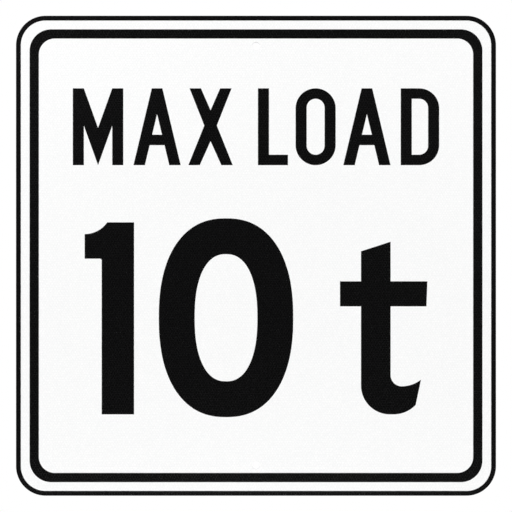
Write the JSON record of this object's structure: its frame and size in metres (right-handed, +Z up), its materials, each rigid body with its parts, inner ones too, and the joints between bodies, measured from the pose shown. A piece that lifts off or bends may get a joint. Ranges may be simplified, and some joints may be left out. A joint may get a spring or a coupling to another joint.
{
  "type": "weight limit sign",
  "caption": "Square flat sign plate with rounded corners, white reflective face, black edge line and border, and a plain legend of a weight limit in tonnes.",
  "frame": {"origin": "centre of the plate's back face", "axes": "+Z up the sign, +X to the right as the face is read, face towards -Y, back towards +Y"},
  "size_m": [0.6, 0.0025, 0.6],
  "materials": {
    "plate_aluminium": "plain mill finish, rolled upright, sheared and lightly deburred edges",
    "white_sheeting": "white retroreflective sheeting with a faint honeycomb of sealed cells",
    "black_film": "black cut film, semi-gloss, following the sheeting's faint relief"
  },
  "bodies": {
    "root": {"sign_plate": "plate_aluminium", "white_sheeting": "white_sheeting", "edge_line": "black_film", "border_band": "black_film", "letter_m": "black_film", "letter_a_first": "black_film", "letter_x": "black_film", "letter_l": "black_film", "letter_o": "black_film", "letter_a_second": "black_film", "letter_d": "black_film", "digit_1": "black_film", "digit_0": "black_film", "unit_t": "black_film"}
  },
  "joints": []
}
